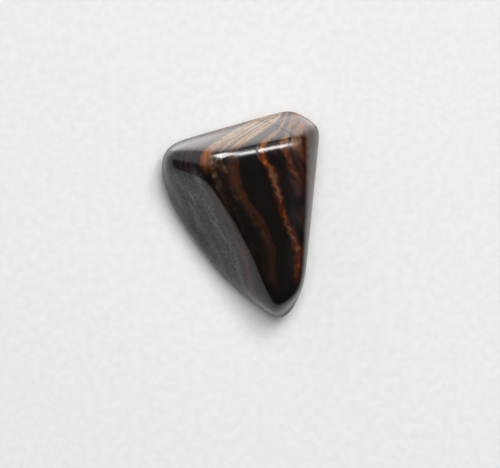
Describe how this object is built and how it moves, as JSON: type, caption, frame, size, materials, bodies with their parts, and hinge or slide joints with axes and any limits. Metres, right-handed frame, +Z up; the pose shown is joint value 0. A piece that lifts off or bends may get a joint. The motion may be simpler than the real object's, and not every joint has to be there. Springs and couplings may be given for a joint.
{
  "type": "tumbled banded tiger's eye pebble",
  "caption": "Small polished stone with a triangular outline and rounded edges: near-level crown, three sloping sides, narrow tip and a flat foot to rest on.",
  "frame": {"origin": "middle of the stone's box, on the surface that its flat foot rests on", "axes": "+Z up, +Y towards the broad end along the stone's length, +X towards its steep straight side"},
  "size_m": [0.0158, 0.021, 0.0125],
  "materials": {
    "polished_stone": "glossy tumbled polish over near-black stone with red-brown, orange and tan bands"
  },
  "bodies": {
    "root": {"stone": "polished_stone"}
  },
  "joints": []
}
